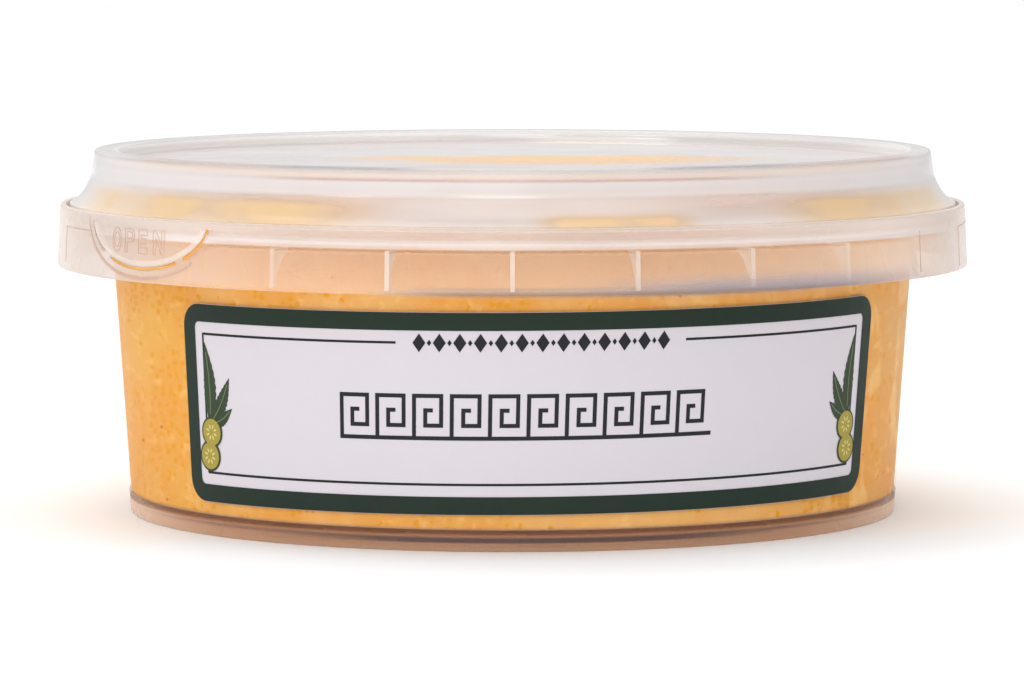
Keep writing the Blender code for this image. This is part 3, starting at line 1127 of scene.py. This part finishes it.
def fill_milky(groups, tree, shader, milk_values, first, second):
    """Plain milky plastic, its colour between two tones."""
    milk = place_group(tree, groups["milky"], milk_values)
    plug_all(shader, {
        "Base Color": blend(milk["Ripple"], colour(*first), colour(*second)),
        "Roughness": milk["Roughness"],
        "Alpha": milk["Haze"],
    })


def web_material(groups):
    """Milkier plastic, fainter towards the tear tab."""
    material, tree, shader = new_material("web_polypropylene")
    at = place_group(tree, groups["position"])
    haze = shifted(0.62, turn_mask(at["Turn"], -48.0, 26.0, 10.0), -0.3)
    values = {"Haze": haze, "Cloud": 0.3, "Cloud Size": 3.0}
    fill_milky(groups, tree, shader, values, (252, 240, 230), (255, 250, 246))
    return material


def marks_material(groups):
    """Plastic of the fine raised lines, a little browner than the skirt."""
    material, tree, shader = new_material("raised_marks")
    values = {"Haze": 0.5, "Cloud": 0.2, "Cloud Size": 5.0}
    fill_milky(groups, tree, shader, values, (212, 172, 152), (228, 196, 180))
    return material


def panel_smear(tree):
    """Soft oval mask where the dip touches the lid's panel, uneven at its edge."""
    place = millimetres(tree)
    away = []
    for axis, middle, half in zip(axes(place), SMEAR_CENTRE, SMEAR_HALF):
        offset = math_of("DIVIDE", math_of("SUBTRACT", axis, middle), half)
        away.append(math_of("POWER", math_of("ABSOLUTE", offset), SMEAR_POWER))
    reach = math_of("POWER", math_of("ADD", *away), 1 / SMEAR_POWER)
    wobble = swing(noise_of(place, 0.09, 3.0), SMEAR_WOBBLE)
    uneven = math_of("ADD", reach, wobble)
    return falls(uneven, 1.0 - SMEAR_EDGE, 1.0 + SMEAR_EDGE)


def dip_behind(tree, at):
    """Mask of the dip that lies against the lid's flare: at the sides, and low at the front."""
    stretches = [turn_mask(at["Turn"], *stretch) for stretch in FLARE_STRETCHES]
    sides = product(highest(*stretches), falls(at["Height"], 42.0, 43.6))
    low_front = patch(at, 38.0, 42.0, 1.3, 13.0, 12.0, 6.0)
    uneven = ramp(noise_of(millimetres(tree), 0.09, 2.0), 0.3, 0.6, 0.55, 0.85)
    above_apron = ramp(at["Height"], 39.5, 40.3)
    return product(highest(sides, low_front), uneven, above_apron)


def lid_material(groups):
    """Milky plastic, tinted where the dip lies against it, with painted shade and a painted glint.
    """
    material, tree, shader = new_material("lid_polypropylene")
    at = place_group(tree, groups["position"])
    height, turn, reach = at["Height"], at["Turn"], at["Reach"]
    apron, plastic, top = (246, 238, 233), (229, 225, 226), (212, 208, 208)
    tint, haze = by_height(at, (
        (38.2, apron, 0.24), (40.0, apron, 0.28), (40.3, plastic, 0.26), (43.3, plastic, 0.26),
        (43.8, plastic, 0.56), (45.1, plastic, 0.56), (45.6, plastic, 0.35), (46.2, plastic, 0.34),
        # The top colour is painted shade that darkens the rim's lit top.
        (46.6, top, 0.26),
    ))
    on_panel = product(falls(reach, 50.6, 51.4), falls(height, 45.4, 45.9))
    inner_wall = product(falls(reach, 51.4, 51.9), ramp(height, 45.3, 45.7))
    far_right = [turn_mask(turn, centre, 50.0, 25.0) for centre in (150.0, -210.0)]
    glint_ring = product(ramp(reach, 48.6, 49.6), patch(at, 44.9, 46.1, 0.2))
    on_top = ramp(height, 46.5, 46.7)
    off_middle = away_from(turn, 3.0)
    near = turn_mask(turn, 0.0, 75.0, 30.0)
    shade_streaks = turn_mask(off_middle, 27.0, 15.0, 10.0)
    side_shade_streaks = turn_mask(off_middle, 50.0, 20.0, 12.0)
    tint = layered(tint, (
        # Painted shade: the recessed panel is greyer.
        (on_panel, 0.8, (210, 206, 206)),
        # Painted light: the rim's inner wall is whitened against its shade.
        (inner_wall, 1.0, (238, 234, 232)),
        # Painted shade: the inner wall is darker again at the far right.
        (product(inner_wall, highest(*far_right)), 1.0, (215, 211, 208)),
        # Painted shade: the rim's top is darker still at the far side.
        (product(on_top, ramp(off_middle, 80.0, 120.0)), 1.0, (198, 194, 192)),
        # Painted glint: a white highlight on the fillet at the far edge of the panel.
        (product(glint_ring, turn_mask(turn, 165.0, 15.0, 8.0)), 0.5, (255, 253, 250)),
        # Painted shade: dark grey streaks along the rim's top, either side of the middle.
        (product(on_top, shade_streaks), 0.8, (140, 140, 152)),
        # Painted shade: brownish streaks along the rim's top, further to the sides.
        (product(on_top, side_shade_streaks), 0.6, (186, 152, 130)),
        (product(patch(at, 45.55, 46.5, 0.35), near), 0.4, (246, 208, 170)),
        (patch(at, 45.2, 45.75, 0.2, 0.0, 42.0, 18.0), 0.6, (206, 150, 116)),
    ))
    behind, touched = dip_behind(tree, at), panel_smear(tree)
    tint = blend(behind, tint, colour(232, 194, 132))
    tint = blend(touched, tint, colour(248, 192, 106))
    milk = place_group(tree, groups["milky"], {"Haze": haze, "Cloud": 0.3, "Cloud Size": 14.0})
    front_veil = patch(at, 40.2, 44.2, 1.2, 2.0, 30.0, 22.0)
    haze = shifted(shifted(milk["Haze"], front_veil, 0.2), inner_wall, 0.25)
    haze = highest(shifted(haze, on_panel, -0.3), 0.1)
    shown = shows_at_grazing(haze, ramp(height, 38.6, 39.0, 0.2, 0.9))
    covered = product(highest(touched, behind), 0.7)
    plug_all(shader, {
        "Base Color": tint,
        "Roughness": product(milk["Roughness"], 0.65),
        "Specular IOR Level": 0.8,
        "Alpha": glows_through(highest(shown, covered)),
        "Normal": bump(milk["Ripple"], 0.1, 0.4),
    })
    return material


def dip_material(groups):
    """Spiced dip, more golden and flecked at the left, with pale smears at the right."""
    material, tree, shader = new_material("spicy_dip")
    at = place_group(tree, groups["position"])
    left = turn_mask(at["Turn"], -75.0, 35.0, 20.0)
    right = turn_mask(at["Turn"], 72.0, 30.0, 15.0)
    warm = blend(left, colour(230, 174, 102), colour(226, 168, 70))
    cream = place_group(tree, groups["creamy"], {
        "Cream": blend(right, warm, colour(222, 165, 88)),
        "Fleck Amount": shifted(0.2, left, 0.4),
        "Smears": shifted(0.1, right, 0.35),
    })
    plug_all(shader, {
        "Base Color": cream["Color"],
        "Normal": bump(cream["Height"], 0.5, 0.3),
        "Roughness": 0.42,
        "Specular IOR Level": 0.05,
    })
    return material


def fill_ink(groups, tree, shader, ink_colour, unevenness):
    """One colour, with the slight unevenness of print."""
    ink = place_group(tree, groups["ink"], {"Ink": ink_colour, "Unevenness": unevenness})
    plug_all(shader, {"Base Color": ink["Color"], "Roughness": ink["Roughness"]})


def label_material(groups):
    """Coated paper with a faint fibre."""
    material, tree, shader = new_material("label_paper")
    fill_ink(groups, tree, shader, colour(206, 200, 207), 0.05)
    fibre = noise_of(millimetres(tree), 3.0, 3.0)
    plug(shader["Normal"], bump(fibre, 0.08, 0.05))
    return material


def ink_material(groups, name, ink_colour, unevenness):
    material, tree, shader = new_material(name)
    fill_ink(groups, tree, shader, ink_colour, unevenness)
    shader["Specular IOR Level"].default_value = 0.08
    return material


def floor_material():
    material, tree, shader = new_material("pale_floor")
    cloud = noise_of(millimetres(tree), 0.01, 3.0)
    plug_all(shader, {
        "Base Color": blend(cloud, (0.92, 0.92, 0.92, 1), (0.94, 0.94, 0.94, 1)),
        "Roughness": 0.7,
    })
    return material


# Camera, light and floor


def make_stage():
    mesh = bpy.data.meshes.new("floor")
    corners = [(x * FLOOR_HALF, y * FLOOR_HALF, 0) for x, y in ((-1, -1), (1, -1), (1, 1), (-1, 1))]
    mesh.from_pydata(corners, [], [(0, 1, 2, 3)])
    floor = new_object("floor", mesh)
    mesh.materials.append(floor_material())

    camera = new_object("camera", bpy.data.cameras.new("camera"))
    camera.location = CAMERA_PLACE
    camera.rotation_euler = (math.radians(CAMERA_PITCH), 0, 0)
    camera.data.lens = CAMERA_LENS
    camera.data.sensor_width = CAMERA_SENSOR
    bpy.context.scene.camera = camera


def add_softbox(name, location, width, height, power):
    """A lamp that shines on the middle of the tub."""
    light = bpy.data.lights.new(name, "AREA")
    light.shape = "RECTANGLE"
    light.size = width
    light.size_y = height
    light.energy = power
    lamp = new_object(name, light)
    lamp.location = location
    way = Vector(TUB_MIDDLE) - Vector(location)
    lamp.rotation_euler = way.to_track_quat("-Z", "Y").to_euler()


def studio_world():
    """Even white light all round, brightest overhead and a little brighter from the left."""
    world = bpy.data.worlds.new("studio")
    world.use_nodes = True
    tree = world.node_tree
    x, _, z = axes(add(tree, "TexCoord").outputs["Generated"])
    up = highest(z, 0.0)
    strength = shifted(0.78, product(up, up), 0.62)
    strength = math_of("ADD", strength, product(x, -0.1))
    strength = product(strength, ramp(z, 0.02, 0.22, 0.8, 1.0))
    plug_all(tree.nodes["Background"].inputs, {"Strength": strength, "Color": (1, 1, 1, 1)})
    return world


def light_scene():
    scene = bpy.context.scene
    scene.world = studio_world()
    scene.view_settings.view_transform = "Standard"
    scene.cycles.max_bounces = 6
    scene.cycles.diffuse_bounces = 3
    scene.cycles.glossy_bounces = 3
    scene.cycles.transparent_max_bounces = 28
    for softbox in SOFTBOXES:
        add_softbox(*softbox)


def make_print(groups):
    """The label's border, rule and ornaments, each ink a piece of its own."""
    dark = (36, 36, 42)

    def ink(name, rails, shade, unevenness, layer=1):
        piece = printed("print_" + name, rails, PRINT_THICKNESS * layer)
        material = ink_material(groups, name + "_ink", colour(*shade), unevenness)
        finish_piece(piece, material)

    ink("border", border_rails(), (35, 49, 41), 0.006)
    ink("rule", rule_rails(), dark, 0.01)
    top = LABEL_HALF_HEIGHT - RULE_INSET
    row = [lozenge_rails(Vector((LOZENGE_PITCH * i, top)), 0.8, 1.15) for i in range(-6, 7)]
    row += [
        lozenge_rails(Vector((LOZENGE_PITCH * (i + 0.5), top)), 0.28, 0.4) for i in range(-6, 6)
    ]
    ink("fret", key_rails(Vector((-1.5, -0.4)), 47, 5.2, 10, 0.5) + row, dark, 0.01)
    slices, leaves, veins = [], [], []
    for side in (-1, 1):
        edge = side * (LABEL_HALF_WIDTH - BORDER_WIDTH)
        stalk = Vector((edge - side * 2.3, -2.6))
        for turn, length, width in ((-3, 10.2, 2.3), (32, 7.0, 2.1), (62, 4.6, 1.7)):
            leaves.append(leaf_rails(stalk, 90 + side * turn, length, width, side * 0.4))
            veins.append(vein_rails(stalk, 90 + side * turn, length, side * 0.4))
        slices += [Vector((edge - side * 2.5, -3.6)), Vector((edge - side * 2.0, -6.6))]
    ink("leaves", leaves, (50, 66, 46), 0.015, 2)
    ink("veins", veins, (104, 116, 82), 0.03, 3)
    ink("rinds", [disc_rails(middle, 1.95) for middle in slices], (50, 66, 40), 0.015, 3)
    ink("slices", [disc_rails(middle, 1.68) for middle in slices], (156, 140, 36), 0.06, 4)
    seeds = [seed for middle in slices for seed in slice_seeds(middle)]
    ink("seeds", seeds, (206, 196, 118), 0.05, 5)


def main():
    groups = {
        "position": position_group(),
        "milky": milky_group(),
        "creamy": creamy_group(),
        "ink": ink_group(),
    }
    make_stage()
    light_scene()
    finish_piece(make_tub(), tub_material(groups), "tub")
    web_plastic = web_material(groups)
    dip_cream = dip_material(groups)
    finish_piece(make_webs(), web_plastic)
    finish_piece(tab_lip(), web_plastic)
    finish_piece(make_slot_fills(), dip_cream)
    finish_piece(make_lid(), lid_material(groups), "lid")
    finish_piece(make_dip(), dip_cream, "dip")
    finish_piece(make_label(), label_material(groups), "label")
    make_print(groups)
    finish_piece(make_tab_marks(), marks_material(groups))


main()
